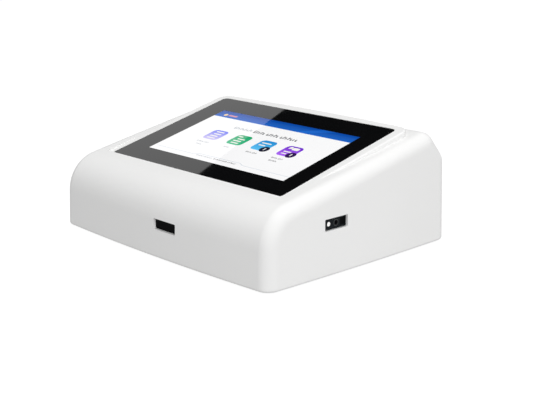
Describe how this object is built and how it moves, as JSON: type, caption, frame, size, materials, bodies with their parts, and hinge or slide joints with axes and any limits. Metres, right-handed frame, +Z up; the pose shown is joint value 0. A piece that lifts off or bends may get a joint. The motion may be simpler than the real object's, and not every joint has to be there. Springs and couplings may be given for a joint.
{
  "type": "countertop self-service terminal",
  "caption": "Low white wedge terminal with a tilted glass touch screen, a powered strip tray in the front, a code reader in the side and sockets behind.",
  "frame": {"origin": "on the resting surface, under the middle of the housing", "axes": "+X to the user's right along the width, +Y to the rear, +Z up; the screen faces up and to -Y"},
  "size_m": [0.2418, 0.1974, 0.0912],
  "materials": {
    "white_shell": "fine satin",
    "cover_glass": "polished, black printed border",
    "black_tape": "matt",
    "lit_film": "lit picture",
    "dark_glass": "polished",
    "bare_metal": "plain",
    "zinc_sheet": "zinc plated",
    "steel_screw": "plain",
    "ribbon": "amber film",
    "grey_base": "fine grain",
    "rubber": "matt",
    "brass": "plain",
    "board": "solder mask",
    "chip": "moulded",
    "can": "drawn",
    "connector": "natural nylon",
    "sink": "black anodised",
    "black_plastic": "fine grain",
    "black_gloss": "polished",
    "dark_module": "fine grain",
    "lamp": "frosted",
    "lens": "coated",
    "acetal": "smooth",
    "paper": "pressed paper"
  },
  "bodies": {
    "terminal": {"top_housing": "white_shell", "cover_glass": "cover_glass", "glass_tape": "black_tape", "lcd_film": "lit_film", "lcd_cell": "dark_glass", "lcd_backlight": "bare_metal", "lcd_bracket": "zinc_sheet", "lcd_screws": "steel_screw", "display_ribbon": "ribbon", "base_plate": "grey_base", "rubber_feet": "rubber", "base_screws": "steel_screw", "threaded_inserts": "brass", "main_board": "board", "board_standoffs": "brass", "board_screws": "steel_screw", "processor": "chip", "memory_chips": "chip", "capacitors": "can", "board_connectors": "connector", "heat_sink": "sink", "rear_panel": "grey_base", "panel_screws": "steel_screw", "power_jack": "black_plastic", "usb_ports": "bare_metal", "network_jack": "bare_metal", "switch_body": "black_plastic", "scan_body": "dark_module", "scan_lamp": "lamp", "scan_lens": "lens", "scan_window": "dark_glass", "scan_bracket": "zinc_sheet", "scan_screws": "steel_screw", "stepper_motor": "can", "motor_bracket": "zinc_sheet", "motor_screws": "steel_screw", "tray_guide": "grey_base", "guide_screws": "steel_screw", "reader_head": "black_plastic", "head_lens": "lens", "head_screws": "steel_screw", "home_sensor": "black_plastic", "speaker_frame": "zinc_sheet", "speaker_cone": "paper", "speaker_magnet": "can"},
    "tray": {"strip_tray": "black_plastic", "tray_face": "black_gloss", "tray_rack": "acetal"},
    "pinion": {"drive_pinion": "acetal", "motor_shaft": "steel_screw"},
    "rocker": {"power_rocker": "black_gloss"}
  },
  "joints": [
    {"name": "tray_slide", "type": "slide", "parent": "terminal", "child": "tray", "axis": [0, -1, 0], "range_m": [0, 0.06]},
    {"name": "pinion_spin", "type": "hinge", "parent": "terminal", "child": "pinion", "pos_m": [0.0136, -0.07605, 0.018], "axis": [1, 0, 0], "range_deg": [0, 540]},
    {"name": "rocker_tip", "type": "hinge", "parent": "terminal", "child": "rocker", "pos_m": [-0.044, 0.0901, 0.02225], "axis": [0, 0, 1], "range_deg": [0, 18]}
  ],
  "couplings": [
    {"joint": "pinion_spin", "follows": "tray_slide", "rad_per_m": 156.25}
  ]
}
